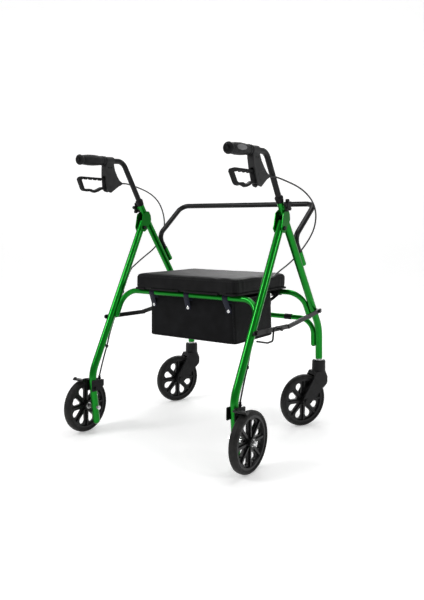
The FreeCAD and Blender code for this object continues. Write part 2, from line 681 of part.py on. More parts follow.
def brake_housing():
    """Shield-shaped shell under the handle tube, with a slot for the lever."""
    outline = [(-186, 958), (-189, 930), (-187, 900), (-180, 862), (-171, 846), (-156, 843), (-120, 866),
               (-104, 873), (-103, 881), (-116, 887), (-129, 901), (-143, 921), (-150, 940), (-152, 958)]
    shell = plate(outline, SIDE_X - 11, SIDE_X + 11)
    clamp = Part.makeCylinder(14, 36, at_side(GRIP_END + TO_BEND * 122), TO_BEND)
    slot = plate([(-230, 825), (-154, 825), (-146, 845), (-146, 884), (-154, 898.5), (-230, 898.5)],
                 SIDE_X - LEVER_HALF - 0.7, SIDE_X + LEVER_HALF + 0.7)
    shell = shell.cut(slot)
    shell = tilted(shell).fuse(clamp)
    bore = rod(at_side(GRIP_END), at_side(GRIP_END + TO_BEND * 220), THIN_R + FIT)
    holes = tilted(across(SIDE_X - 20, SIDE_X + 20, LEVER_PIVOT, LEVER_PIN_R + FIT))
    cable = tilted(rod(CABLE_STOP, CABLE_EXIT, CABLE_R + 0.2))
    relief = rod(at_side(GRIP_END), at_side(GRIP_END + TO_BEND * 121.8), 16.4)
    shell = shell.cut(relief.cut(clamp)).cut(bore).cut(holes).cut(cable)
    for point in SCREWS:
        shell = shell.cut(tilted(across(SIDE_X - 12, SIDE_X - 7.9, point, 3)))
        shell = shell.cut(tilted(across(SIDE_X + 7.9, SIDE_X + 12, point, 3)))
    return shell


SCREWS = (V(0, -176, 928), V(0, -163, 929))
CABLE_STOP, CABLE_EXIT = V(SIDE_X, -128, 873.5), V(SIDE_X, -86, 878.6)


def housing_fasteners():
    """Lever pin and the clamp screws' heads."""
    pin = across(SIDE_X - 10.6, SIDE_X + 10.6, LEVER_PIVOT, LEVER_PIN_R)
    heads = [across(SIDE_X + 8, SIDE_X + 10, point, 2.9) for point in SCREWS]
    return Part.makeCompound([tilted(s) for s in [pin] + heads])


def brake_lever():
    """Loop lever with finger bumps."""
    outer = [(-163, 890), (-184, 891.5), (-288, 891), (-300, 888), (-306, 880), (-288, 848), (-280, 843),
             (-266, 842), (-249, 844), (-231, 839), (-213, 844), (-199, 851), (-173, 852), (-159, 853), (-153, 863),
             (-157, 879)]
    inner = [(-184, 884), (-285, 883.5), (-293, 880), (-279, 853), (-272, 850), (-249, 852), (-231, 847),
             (-215, 852), (-199, 859), (-185, 861)]
    half = LEVER_HALF
    loop = plate(outer, SIDE_X - half, SIDE_X + half)
    loop = loop.cut(plate(inner, SIDE_X - half - 1, SIDE_X + half + 1))
    for y in (-272, -250, -228, -206):
        loop = loop.fuse(across(SIDE_X - half, SIDE_X + half, V(0, y, 885), 3.8))
    loop = loop.cut(across(SIDE_X - 20, SIDE_X + 20, LEVER_PIVOT, LEVER_PIN_R + FIT))
    return tilted(loop.removeSplitter())


# ---------------------------------------------------------------- cables

UPPER_RIGHT = [(305, -60, 880), (309, -38, 877.5), (310, 5, 871), (313, 65, 861), (319, 122, 843), (325, 172, 812),
               (324, 203, 771), (314, 213, 725), (298, 210, 688), (281, 196, 655), (275.5, 168, 633),
               (275.5, 132, 616.5)]
CROSS_RIGHT = [(280, 25, 582), (286, -25, 567)]
UPPER_LEFT = [(-305, -60, 879), (-309, -38, 876.5), (-311, 3, 870), (-315, 60, 858), (-321, 112, 840),
              (-326, 153, 812), (-328, 178, 770), (-323, 176, 728), (-316, 153, 688), (-311, 118, 660)]
CROSS_LEFT = [(-308, 22, 606), (-303, -25, 583)]


def front_of_rear_leg(z):
    """A point on the front side of the rear leg, where the cable lies."""
    away = V(0, math.cos(REAR_LEAN), -math.sin(REAR_LEAN)) * (TUBE_R + CABLE_R + 0.6)
    return on_line(rear_axis(600) + away, REAR_DOWN, z)


def cable(points):
    return swept(points, CABLE_R)


def upper_cable(points, side):
    """From its stop inside the brake housing, which it leaves through the nose."""
    start, leave = CABLE_STOP, CABLE_EXIT
    ends = [Part.Vertex(V(p.x, p.y, p.z)) for p in (start + (leave - start) * 0.3, leave)]
    ends = [tilted(v).Point for v in ends]
    return [V(side * p.x, p.y, p.z) for p in ends] + [V(*p) for p in points]


def crossing_cable(above, middle, side):
    """From the end of the upper cable to the rear leg."""
    on = (above[-1] - above[-2]).normalize()
    leg = at_side(front_of_rear_leg(542.4), side * SIDE_X)
    ends = [leg - REAR_DOWN * 32, leg - REAR_DOWN * 0.3]
    return [above[-1] + on * 0.3, above[-1] + on * 30] + [V(*p) for p in middle] + ends


def lower_cable():
    leg = [at_side(front_of_rear_leg(z)) for z in (542.4, 372)]
    return leg + [V(SIDE_X, -189, 303), V(SIDE_X, -208, 262), V(SIDE_X, -229, 204)]


def cables():
    right, left = upper_cable(UPPER_RIGHT, 1), upper_cable(UPPER_LEFT, -1)
    save("cable_upper_right", cable(right))
    save("cable_upper_left", cable(left))
    crossings = [crossing_cable(right, CROSS_RIGHT, 1), crossing_cable(left, CROSS_LEFT, -1)]
    save("cable_crossings", Part.makeCompound([cable(points) for points in crossings]))
    save("cables_lower", both(cable(lower_cable())))


def cable_guide(z, reach):
    """Saddle on the front of the rear leg, with an eye that holds the cable at a distance from the leg's axis."""
    centre = at_side(rear_axis(z))
    forward = V(0, math.cos(REAR_LEAN), -math.sin(REAR_LEAN))
    eye_at = centre + forward * reach
    saddle = Part.makeCylinder(TUBE_R + 1.6, 8, centre, REAR_DOWN)
    eye = Part.makeCylinder(CABLE_R + 2.6, 8, eye_at, REAR_DOWN)
    link = Part.makeBox(3, reach, 8, V(-1.5, -reach, 0))
    ahead = Part.makeBox(60, 60, 8, V(-30, -67.5, 0))
    for piece in (link, ahead):
        piece.Placement = FreeCAD.Placement(centre, FreeCAD.Rotation(V(1, 0, 0), 180 - math.degrees(REAR_LEAN)))
    solid = saddle.fuse([eye, link]).common(ahead)
    solid = solid.cut(Part.makeCylinder(TUBE_R + 0.05, 8, centre, REAR_DOWN))
    return solid.cut(Part.makeCylinder(CABLE_R + 1.1, 8, eye_at, REAR_DOWN))


def cable_guides():
    """Two leg saddles and the barrel adjuster of one side."""
    barrel = rod(V(SIDE_X, -229, 203.5), V(SIDE_X, -231, 187.8), 4.2)
    ring = rod(V(SIDE_X, -229.6, 196), V(SIDE_X, -230.2, 191), 6)
    guides = [cable_guide(500, TUBE_R + CABLE_R + 0.6), cable_guide(318, 27)]
    return Part.makeCompound(guides + [barrel.fuse(ring)])


def main():
    save_sides("front_leg", front_leg())
    save_sides("rear_leg", rear_leg())
    save("leg_plugs", both(leg_plug()))
    rail = cross_rail(front_axis(FRONT_RAIL_Z), FRONT_DOWN, 404, FRONT_RAIL_IN, FRONT_RAIL_FORWARD)
    save("seat_rail_front", rail)
    rail = cross_rail(rear_axis(REAR_RAIL_Z), REAR_DOWN, 412, REAR_RAIL_IN, REAR_RAIL_FORWARD)
    save("seat_rail_rear", rail)
    save("front_brace", front_brace())
    save("pivot_brackets", both(pivot_bracket()))
    save("handle_collars", both(handle_collar()))
    save("collar_sleeves", both(collar_sleeve()))
    save("frame_bolts", both(frame_bolts()))
    save_sides("height_knob", star_knob())
    save("backrest_sockets", both(backrest_socket()))
    save("backrest_bar", backrest_bar())
    save("seat_pan", seat_pan())
    save("seat_cushion", seat_cushion())
    save("seat_clamps", both(seat_clamp()))
    save("bag", bag())
    save("bag_straps", bag_straps())
    rear_wheels()
    save("rear_axles", both(rear_axle()))
    casters()
    save("brake_brackets", both(brake_bracket()))
    save_sides("brake_arm", brake_arm())
    save("brake_springs", both(brake_spring()))
    save_sides("arm_front", arm_front())
    save("arm_rear_right", arm_rear_with_pin())
    save("arm_rear_left", mirrored(arm_rear()))
    save("arm_bolts", both(arm_bolt()))
    save("wire_bail", wire_bail())
    save_sides("handle_tube", handle_tube())
    save_sides("grip", grip())
    save_sides("brake_housing", brake_housing())
    save_sides("housing_fasteners", housing_fasteners())
    save_sides("brake_lever", brake_lever())
    cables()
    save("cable_guides", both(cable_guides()))


main()
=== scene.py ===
import math

import bmesh
import bpy
from mathutils import Matrix, Vector, noise
from mathutils.bvhtree import BVHTree


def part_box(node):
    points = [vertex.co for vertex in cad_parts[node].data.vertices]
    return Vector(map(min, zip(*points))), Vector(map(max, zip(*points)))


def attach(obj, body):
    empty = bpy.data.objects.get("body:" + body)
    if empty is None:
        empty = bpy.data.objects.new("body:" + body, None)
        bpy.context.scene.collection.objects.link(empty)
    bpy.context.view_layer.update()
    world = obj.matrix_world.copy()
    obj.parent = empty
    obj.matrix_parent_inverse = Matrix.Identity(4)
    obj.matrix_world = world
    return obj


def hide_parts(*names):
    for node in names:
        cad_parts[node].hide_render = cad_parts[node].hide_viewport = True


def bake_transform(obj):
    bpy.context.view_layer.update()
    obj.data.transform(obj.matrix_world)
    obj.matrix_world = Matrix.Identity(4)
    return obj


# Rollator walker: materials on the CAD frame, and its soft goods and trim. Metres, +Z up, -Y to the user.

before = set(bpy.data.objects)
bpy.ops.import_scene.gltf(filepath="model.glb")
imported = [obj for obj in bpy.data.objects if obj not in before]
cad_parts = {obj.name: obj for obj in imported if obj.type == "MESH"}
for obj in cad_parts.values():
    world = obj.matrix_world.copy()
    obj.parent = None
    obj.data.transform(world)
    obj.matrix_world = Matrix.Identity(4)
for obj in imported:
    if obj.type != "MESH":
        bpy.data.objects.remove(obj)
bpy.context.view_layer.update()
MM = 0.001
TWO_PI = 2 * math.pi


# ---------------------------------------------------------------- materials

class Shader:
    """A Principled material with short calls that add its procedural detail."""

    def __init__(self, name, color, roughness, metallic=0.0):
        self.material = bpy.data.materials.new(name)
        self.material.use_nodes = True
        self.tree = self.material.node_tree
        self.bsdf = self.tree.nodes["Principled BSDF"]
        self.bsdf.inputs["Base Color"].default_value = (*color, 1)
        self.bsdf.inputs["Roughness"].default_value = roughness
        self.bsdf.inputs["Metallic"].default_value = metallic
        self.place = self.node("ShaderNodeTexCoord").outputs["Object"]

    def node(self, kind, **inputs):
        made = self.tree.nodes.new(kind)
        for key, value in inputs.items():
            made.inputs[key.replace("_", " ")].default_value = value
        return made

    def link(self, output, target):
        self.tree.links.new(output, target)

    def noise(self, scale, detail=3):
        made = self.node("ShaderNodeTexNoise", Scale=scale, Detail=detail)
        self.link(self.place, made.inputs["Vector"])
        return made.outputs["Fac"]

    def cells(self, scale):
        made = self.node("ShaderNodeTexVoronoi", Scale=scale)
        self.link(self.place, made.inputs["Vector"])
        return made.outputs["Distance"]

    def wave(self, scale, direction):
        made = self.node("ShaderNodeTexWave", Scale=scale)
        made.bands_direction = direction
        self.link(self.place, made.inputs["Vector"])
        return made.outputs["Fac"]

    def color(self, factor, low, high, low_at=0.35, high_at=0.65):
        """Base colour between two colours, by a texture."""
        ramp = self.node("ShaderNodeValToRGB")
        ramp.color_ramp.elements[0].position = low_at
        ramp.color_ramp.elements[1].position = high_at
        ramp.color_ramp.elements[0].color = (*low, 1)
        ramp.color_ramp.elements[1].color = (*high, 1)
        self.link(factor, ramp.inputs["Fac"])
        self.link(ramp.outputs["Color"], self.bsdf.inputs["Base Color"])
        return self

    def roughness(self, factor, low, high):
        spread = self.node("ShaderNodeMapRange")
        spread.inputs["To Min"].default_value = low
        spread.inputs["To Max"].default_value = high
        self.link(factor, spread.inputs["Value"])
        self.link(spread.outputs["Result"], self.bsdf.inputs["Roughness"])
        return self

    def bump(self, height, distance, strength=1.0):
        """Relief of that depth in metres, on top of any relief that is already there."""
        made = self.node("ShaderNodeBump", Distance=distance, Strength=strength)
        normal = self.bsdf.inputs["Normal"]
        if normal.links:
            self.link(normal.links[0].from_socket, made.inputs["Normal"])
        self.link(height, made.inputs["Height"])
        self.link(made.outputs["Normal"], normal)
        return self

    def set(self, **values):
        for key, value in values.items():
            self.bsdf.inputs[key.replace("_", " ")].default_value = value
        return self


def green_paint():
    """Deep green powder coat with a thin clear coat."""
    s = Shader("green_paint", (0.002, 0.21, 0.011), 0.3, 0.85)
    s.color(s.noise(9), (0.001, 0.195, 0.01), (0.002, 0.225, 0.013))
    s.roughness(s.noise(60), 0.26, 0.31)
    s.bump(s.noise(140, 1), 0.00002, 0.05)
    return s.set(Specular_IOR_Level=0.15, Coat_Weight=0.2, Coat_Roughness=0.07).material


def black_paint():
    """Semi-gloss black powder coat on tubes and links."""
    s = Shader("black_paint", (0.005, 0.005, 0.0055), 0.3)
    s.color(s.noise(30), (0.003, 0.003, 0.0035), (0.007, 0.007, 0.0075))
    s.roughness(s.noise(120), 0.25, 0.38)
    s.bump(s.noise(700, 2), 0.00006, 0.3)
    return s.set(Specular_IOR_Level=0.22).material


def grained_plastic(name, color, grain=0.00012, rough=(0.38, 0.55), shine=0.14):
    """Moulded plastic with a fine leathery grain and slightly uneven gloss."""
    s = Shader(name, color, rough[0])
    s.color(s.noise(40), [c * 0.8 for c in color], [c * 1.25 for c in color])
    s.roughness(s.noise(160), *rough)
    return s.bump(s.cells(900), grain, 0.6).set(Specular_IOR_Level=shine).material


def grip_rubber():
    """Soft rubber with fine rings pressed round the grip."""
    s = Shader("grip_rubber", (0.009, 0.009, 0.0095), 0.5)
    s.color(s.noise(50), (0.006, 0.006, 0.0065), (0.014, 0.014, 0.015))
    s.roughness(s.noise(90), 0.4, 0.58)
    s.bump(s.wave(160, "Y"), 0.00035, 0.5)
    return s.bump(s.noise(800), 0.00012, 0.5).set(Specular_IOR_Level=0.16).material


def tyre_rubber():
    """Matt solid tyre, dusted a little lighter on its tread."""
    s = Shader("tyre_rubber", (0.012, 0.012, 0.012), 0.6)
    s.color(s.noise(60, 5), (0.009, 0.009, 0.009), (0.022, 0.021, 0.02), 0.4, 0.75)
    s.roughness(s.noise(140), 0.42, 0.66)
    return s.bump(s.noise(600, 4), 0.0002, 0.5).set(Specular_IOR_Level=0.18).material


def bright_steel():
    """Zinc-plated fastener: bright, with faint turning marks."""
    s = Shader("bright_steel", (0.72, 0.72, 0.73), 0.22, 1.0)
    s.color(s.noise(200), (0.6, 0.6, 0.61), (0.8, 0.8, 0.8))
    s.roughness(s.noise(300), 0.14, 0.34)
    return s.bump(s.wave(900, "X"), 0.00004, 0.4).material


def cable_jacket():
    """Satin vinyl jacket of the brake cables."""
    s = Shader("cable_jacket", (0.01, 0.01, 0.011), 0.36)
    s.color(s.noise(80), (0.007, 0.007, 0.008), (0.02, 0.02, 0.022))
    s.roughness(s.noise(200), 0.28, 0.45)
    return s.bump(s.noise(500), 0.00006, 0.4).set(Specular_IOR_Level=0.3).material


def vinyl():
    """Black upholstery vinyl: pebbled grain, soft sheen, faint scuffs."""
    s = Shader("seat_vinyl", (0.006, 0.006, 0.0065), 0.5)
    s.color(s.noise(16, 5), (0.004, 0.004, 0.0045), (0.009, 0.009, 0.0095))
    s.roughness(s.noise(24, 4), 0.46, 0.6)
    s.bump(s.cells(620), 0.00016, 0.45)
    s.bump(s.noise(38, 4), 0.0007, 0.25)
    return s.set(Specular_IOR_Level=0.11).material


def woven(name, dark, light, threads, roughness, sheen):
    """Tightly woven cloth: fine grain of the threads over uneven yarn and soft creases."""
    s = Shader(name, dark, roughness)
    s.color(s.noise(26, 5), dark, light, 0.35, 0.8)
    s.roughness(s.noise(60), roughness - 0.06, roughness + 0.08)
    s.bump(s.cells(threads), 0.0002, 0.5)
    s.bump(s.noise(45, 4), 0.0012, 0.25)
    return s.set(Sheen_Weight=sheen, Sheen_Roughness=0.5, Specular_IOR_Level=0.08).material


def studio_floor():
    """Near-white sweep. It glows more where the lamps no longer reach, so that it stays even."""
    s = Shader("studio_floor", (0.9, 0.9, 0.9), 0.8)
    s.color(s.noise(3), (0.89, 0.89, 0.89), (0.91, 0.91, 0.91))
    reach = s.node("ShaderNodeVectorMath")
    reach.operation = "LENGTH"
    s.link(s.place, reach.inputs[0])
    glow = s.node("ShaderNodeMapRange", From_Min=0.8, From_Max=4.5, To_Min=0.32, To_Max=0.46)
    s.link(reach.outputs["Value"], glow.inputs["Value"])
    s.link(glow.outputs["Result"], s.bsdf.inputs["Emission Strength"])
    return s.set(Emission_Color=(1, 1, 1, 1), Specular_IOR_Level=0.1).material


GREEN = green_paint()
BLACK = black_paint()
PLASTIC = grained_plastic("moulded_black", (0.006, 0.006, 0.0065))
# Brake housing: the black plastic painted lighter than the other black plastic, a painted highlight standing
# for the light on its outer face
HOUSING_PAINTED_LIGHTER = grained_plastic("housing_black_painted_lighter", (0.016, 0.016, 0.0165), 0.00015, (0.4, 0.56), 0.3)
FORK = grained_plastic("fork_black", (0.008, 0.008, 0.0085), 0.0003, (0.38, 0.52), 0.2)
RIM = grained_plastic("wheel_black", (0.006, 0.006, 0.0065), 0.0001, (0.25, 0.4), 0.25)
BOARD = grained_plastic("board_black", (0.008, 0.008, 0.008), 0.0003, (0.5, 0.7))
PAD_GREY = grained_plastic("pad_grey", (0.16, 0.16, 0.165), 0.0002, (0.5, 0.65))
GRIP = grip_rubber()
TYRE = tyre_rubber()
STEEL = bright_steel()
JACKET = cable_jacket()
VINYL = vinyl()
NYLON = woven("bag_nylon", (0.004, 0.004, 0.0045), (0.009, 0.009, 0.0105), 900, 0.62, 0.03)
PIPING = woven("bag_piping", (0.005, 0.005, 0.006), (0.014, 0.014, 0.016), 1100, 0.55, 0.1)
WEBBING = woven("strap_webbing", (0.008, 0.009, 0.018), (0.018, 0.02, 0.036), 1000, 0.55, 0.1)

NODE_MATERIALS = {
    "front_leg": GREEN, "rear_leg": GREEN, "handle_collars": GREEN, "pivot_brackets": GREEN,
    "front_brace": GREEN, "seat_rail": GREEN, "backrest_sockets": GREEN,
    "handle_tube": BLACK, "backrest_bar": BLACK, "arm_": BLACK, "wire_bail": BLACK, "brake_arm": BLACK,
    "frame_bolts": BLACK,
    "leg_plugs": PLASTIC, "collar_sleeves": PLASTIC, "brake_lever": PLASTIC, "height_knob": PLASTIC,
    "seat_clamps": PLASTIC, "cable_guides": PLASTIC, "brake_brackets": PLASTIC, "brake_housing": HOUSING_PAINTED_LIGHTER,
    "caster_fork": FORK, "rim_": RIM, "tyre_": TYRE, "grip_": GRIP, "seat_pan": BOARD,
    "rear_axles": STEEL, "caster_stems": STEEL, "caster_axle": BLACK, "housing_fasteners": BLACK,
    "brake_springs": STEEL, "cable": JACKET, "seat_cushion": VINYL, "bag_straps": WEBBING, "bag": NYLON,
}
SOFTENED = ("brake_lever", "brake_housing", "height_knob", "caster_fork", "rim_", "pivot_brackets",
            "brake_arm")


def dress_frame():
    """Every CAD node gets its material, and the moulded ones get softened edges."""
    for name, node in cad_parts.items():
        prefix = max((key for key in NODE_MATERIALS if name.startswith(key)), key=len)
        node.data.materials.clear()
        node.data.materials.append(NODE_MATERIALS[prefix])
        if name.startswith(SOFTENED):
            edge = node.modifiers.new("edges", "BEVEL")
            edge.width = 0.6 * MM
            edge.segments = 2
            edge.limit_method = "ANGLE"
            edge.angle_limit = math.radians(38)
            edge.harden_normals = True


# ---------------------------------------------------------------- small helpers

def add(name, mesh, material, body):
    """A finished mesh becomes a piece that rides on a body."""
    piece = bpy.data.objects.new(name, mesh)
    bpy.context.scene.collection.objects.link(piece)
    mesh.materials.clear()
    mesh.materials.append(material)
    for polygon in mesh.polygons:
        polygon.use_smooth = True
    if body:
        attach(piece, body)
    return piece


def mesh_from(name, vertices, faces):
    mesh = bpy.data.meshes.new(name)
    mesh.from_pydata([tuple(v) for v in vertices], [], faces)
    mesh.update()
    return mesh


def grid_faces(rows, columns, closed):
    """Quads between the rows of a grid. A closed grid joins its last column to its first."""
    faces = []
    for i in range(rows - 1):
        for j in range(columns if closed else columns - 1):
            k = (j + 1) % columns
            faces.append((i * columns + j, i * columns + k, (i + 1) * columns + k, (i + 1) * columns + j))
    return faces


def round_cord(name, points, radius, closed=False):
    """Mesh of a smooth round cord whose NURBS spline has these control points."""
    curve = bpy.data.curves.new(name, "CURVE")
    curve.dimensions = "3D"
    curve.bevel_depth = radius
    curve.bevel_resolution = 4
    curve.resolution_u = 14
    curve.use_fill_caps = not closed
    spline = curve.splines.new("NURBS")
    spline.points.add(len(points) - 1)
    for target, point in zip(spline.points, points):
        target.co = (*point, 1)
    spline.order_u = 3
    spline.use_endpoint_u = not closed
    spline.use_cyclic_u = closed
    holder = bpy.data.objects.new(name + "_curve", curve)
    bpy.context.scene.collection.objects.link(holder)
    bpy.context.view_layer.update()
    mesh = bpy.data.meshes.new_from_object(holder.evaluated_get(bpy.context.evaluated_depsgraph_get()))
    bpy.data.objects.remove(holder)
    return mesh


def surface_of(mesh):
    """A tree that finds places on a mesh's surface."""
    return BVHTree.FromPolygons([v.co for v in mesh.vertices], [p.vertices for p in mesh.polygons])


def ribbon(path, width, thickness):
    """Vertices and faces of a flat strap. path holds (centre, across, normal) at each station."""
    vertices = []
    for centre, across, normal in path:
        for a, n in ((-0.5, 0), (-0.46, 1), (0.46, 1), (0.5, 0), (0.46, -1), (-0.46, -1)):
            vertices.append(centre + across * (a * width) + normal * (n * thickness / 2))
    faces = grid_faces(len(path), 6, True)
    last = 6 * (len(path) - 1)
    return vertices, faces + [tuple(range(5, -1, -1)), tuple(range(last, last + 6))]


# ---------------------------------------------------------------- seat cushion

def cushion_start(low, high):
    """Rounded box a little smaller than the cushion, for the cloth to swell from."""
    maker = bmesh.new()
    bmesh.ops.create_cube(maker, size=1)
    size = high - low
    bmesh.ops.scale(maker, vec=size - Vector((6, 6, 3)) * MM, verts=maker.verts)
    bmesh.ops.translate(maker, vec=(low + high) / 2 - Vector((0, 0, 1)) * MM, verts=maker.verts)
    upright = [e for e in maker.edges if abs((e.verts[0].co - e.verts[1].co).normalized().z) > 0.9]
    bmesh.ops.bevel(maker, geom=upright, offset=22 * MM, segments=6, profile=0.5, affect="EDGES")
    rims = [e for e in maker.edges if abs((e.verts[0].co - e.verts[1].co).z) < 1e-6
            and len({round(f.normal.z) for f in e.link_faces}) == 2]
    bmesh.ops.bevel(maker, geom=rims, offset=8 * MM, segments=3, profile=0.5, affect="EDGES")
    mesh = bpy.data.meshes.new("cushion")
    maker.to_mesh(mesh)
    maker.free()
    return mesh


def apply_modifiers(piece):
    """The piece keeps the shape that its modifiers give it, and loses the modifiers."""
    depsgraph = bpy.context.evaluated_depsgraph_get()
    mesh = bpy.data.meshes.new_from_object(piece.evaluated_get(depsgraph))
    piece.modifiers.clear()
    piece.data = mesh


SWELL_CAP = 9 * MM


def seat_cushion():
    """Foam pad in a vinyl cover that wraps the seat board. A cloth simulation puffs it; its corners pleat."""
    low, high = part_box("seat_cushion")
    low.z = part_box("seat_pan")[0].z + 0.5 * MM
    pad = bpy.data.objects.new("cushion", cushion_start(low, high))
    bpy.context.scene.collection.objects.link(pad)
    remesh = pad.modifiers.new("even", "REMESH")
    remesh.mode = "VOXEL"
    remesh.voxel_size = 6 * MM
    apply_modifiers(pad)
    start = [v.co.copy() for v in pad.data.vertices]
    cloth = pad.modifiers.new("cloth", "CLOTH")
    cloth.settings.use_pressure = True
    cloth.settings.uniform_pressure_force = 4
    cloth.settings.effector_weights.gravity = 0
    cloth.settings.quality = 6
    for number in range(1, 21):
        bpy.context.scene.frame_set(number)
    apply_modifiers(pad)
    bpy.context.scene.frame_set(1)
    for vertex, before in zip(pad.data.vertices, start):
        move = vertex.co - before
        if move.length > SWELL_CAP:
            move = move.normalized() * SWELL_CAP
        vertex.co = dressed(before + move * 0.5, low, high)
    fit_inside(pad.data, low, high, 2 * MM)
    smooth = pad.modifiers.new("smooth", "SUBSURF")
    smooth.levels = smooth.render_levels = 1
    apply_modifiers(pad)
    piece = add("cushion_cover", pad.data, VINYL, "seat")
    bpy.data.objects.remove(pad)
    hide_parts("seat_cushion")
    cushion_seam(piece.data, low, high)


def dressed(p, low, high):
    """A point of the swollen pad with the top's crown, its ruffled rim and the corners' pleats."""
    centre, half = (low + high) / 2, (high - low) / 2
    u, v = (p.x - centre.x) / half.x, (p.y - centre.y) / half.y
    rim = max(abs(u), abs(v))
    p = p.copy()
    if p.z > centre.z:
        p.z += 2.6 * MM * (1 - rim ** 4)
        p.z += 1.3 * MM * noise.noise(Vector((p.x * 30, p.y * 30, 3))) * rim ** 3
    corner = max(0, abs(u) + abs(v) - 1.5) / 0.5
    outward = Vector((math.copysign(u * u, u), math.copysign(v * v, v), 0)).normalized()
    turn = math.atan2(abs(v) * half.y - half.y + 30 * MM, abs(u) * half.x - half.x + 30 * MM)
    pleat = math.sin(turn * 13) * 0.6 + noise.noise(Vector((turn * 6, p.z * 25, u + v)))
    p += outward * (2.6 * MM * corner * pleat)
    side = 1.3 * MM * noise.noise(Vector((p.x * 12, p.y * 12, p.z * 30)))
    return p + outward * (side * rim ** 6)


def fit_inside(mesh, low, high, proud):
    """Keeps a soft mesh within its CAD box, give or take what it may stand proud. Its base stays flat."""
    for vertex in mesh.vertices:
        for axis in range(3):
            vertex.co[axis] = min(max(vertex.co[axis], low[axis] - proud), high[axis] + proud)
        vertex.co.z = max(vertex.co.z, low.z)


def rounded_loop(low, high, corner, level, step=8):
    """Points round a rounded rectangle at a height."""
    points = []
    corners = ((high.x, high.y, 0), (low.x, high.y, 90), (low.x, low.y, 180), (high.x, low.y, 270))
    for cx, cy, start in corners:
        centre = Vector((cx - math.copysign(corner, cx - (low.x + high.x) / 2),
                         cy - math.copysign(corner, cy - (low.y + high.y) / 2), level))
        for k in range(step + 1):
            turn = math.radians(start + 90 * k / step)
            points.append(centre + Vector((math.cos(turn), math.sin(turn), 0)) * corner)
    dense = []
    for a, b in zip(points, points[1:] + points[:1]):
        parts = max(1, round((b - a).length / (16 * MM)))
        dense += [a.lerp(b, k / parts) for k in range(parts)]
    return dense


def cushion_seam(mesh, low, high):
    """Fine sewn seam between the top panel and the side band, laid on the cover itself."""
    cover = surface_of(mesh)
    points = []
    for aim in rounded_loop(low, high, 22 * MM, high.z - 6.5 * MM):
        place, normal = cover.find_nearest(aim)[:2]
        points.append(place + normal * 0.15 * MM)
    add("cushion_seam", round_cord("seam", points, 0.8 * MM, closed=True), VINYL, "seat")


# ---------------------------------------------------------------- bag

BAG_ROUND = 7 * MM
BAG_FRONT_Y = 165.5 * MM
HEM_Z = 500 * MM
BAG_TAPER = Vector((8, 6)) * MM     # how far the hem stands in at the sides and out at the back
STRAPS = ((-0.149, -0.159), (0.002, -0.007), (0.158, 0.157))    # each strap over the rail and at its snap
SNAP_Z = 452 * MM
RAIL_RADIUS = 9.525 * MM


def rail_axis(node):
    """Where the straight part of a cross tube runs: at the top, and at the edge away from its ends."""
    low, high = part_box(node)
    y = high.y - RAIL_RADIUS if node == "seat_rail_rear" else low.y + RAIL_RADIUS
    return Vector((0, y, high.z - RAIL_RADIUS))


def bag_loop(low, high, per_side=26):
    """Even points round the bag's outline, with each point's outward direction and share along its wall."""
    loop = []
    corners = [(low.x, low.y), (high.x, low.y), (high.x, high.y), (low.x, high.y)]
    for index in range(4):
        a = Vector(corners[index])
        b = Vector(corners[(index + 1) % 4])
        along = (b - a).normalized()
        out = Vector((along.y, -along.x))
        for k in range(per_side):
            share = (k + 0.5) / per_side
            p = a.lerp(b, share)
            reach = min(share, 1 - share) * (b - a).length
            if reach < BAG_ROUND:
                lift = BAG_ROUND - reach
                p -= out * (BAG_ROUND - math.sqrt(BAG_ROUND ** 2 - lift ** 2)) * 0.5
            loop.append((p, out, share, index))
    return loop


def bag_point(entry, depth, low, high):
    """A point of the bag's outer cloth. depth is 0 at the hem and 1 at the bottom seam."""
    p, out, share, wall = entry
    z = high.z - depth * (high.z - low.z)
    belly = math.sin(math.pi * share) * math.sin(math.pi * min(1, depth * 0.9 + 0.1))
    bulge = (3.5 if wall in (0, 2) else 5.5) * MM * belly
    crease = noise.noise(Vector((p.x * 11, p.y * 11, z * 16)))
    fold = noise.noise(Vector((p.x * 30, p.y * 30, z * 9)))
    bulge += (2.2 * crease + 0.9 * fold) * MM * math.sin(math.pi * share)
    if wall in (0, 2):
        nearest = min(abs(p.x - at_snap) for over_rail, at_snap in STRAPS)
        z -= 5 * MM * min(1, nearest / 0.06) * (1 - depth) ** 2
        bulge -= 2.5 * MM * min(1, nearest / 0.05) * (1 - depth) ** 3
    else:
        z -= 9 * MM * math.sin(math.pi * share) * (1 - depth) ** 2
    side, back = BAG_TAPER * (1 - depth)
    x = p.x * (1 - side / high.x)
    y = p.y - back * (high.y - p.y) / (high.y - low.y)
    return Vector((x + out.x * bulge, y + out.y * bulge, z))


def bag():
    """Lofted cloth bag that sags between its straps, with a sagging bottom."""
    low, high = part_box("bag")
    low.z -= 2 * MM
    high = Vector((high.x, BAG_FRONT_Y, HEM_Z))
    loop = bag_loop(low, high)
    rows, base_rings = 22, 11
    vertices = [bag_point(entry, row / (rows - 1), low, high) for row in range(rows) for entry in loop]
    centre = Vector(((low.x + high.x) / 2, (low.y + high.y) / 2, low.z))
    for ring in range(1, base_rings + 1):
        share = 1 - ring / (base_rings + 1)
        for entry in loop:
            edge = bag_point(entry, 1, low, high)
            p = centre.lerp(edge, share)
            p.z = edge.z - 3.5 * MM * (1 - share ** 2)
            vertices.append(p)
    total = rows + base_rings
    faces = grid_faces(total, len(loop), True)
    last = (total - 1) * len(loop)
    faces.append(tuple(range(last, last + len(loop))))
    mesh = mesh_from("bag_cloth", vertices, faces)
    piece = add("bag_cloth", mesh, NYLON, None)
    wall = piece.modifiers.new("cloth_thickness", "SOLIDIFY")
    wall.thickness = 1.8 * MM
    wall.offset = 1
    bpy.context.view_layer.update()
    apply_modifiers(piece)
    for polygon in piece.data.polygons:
        polygon.use_smooth = True
    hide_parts("bag")
    pieces = [piece] + bag_trim(loop, low, high)
    for part in pieces:
        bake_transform(part)
    return surface_of(piece.data)


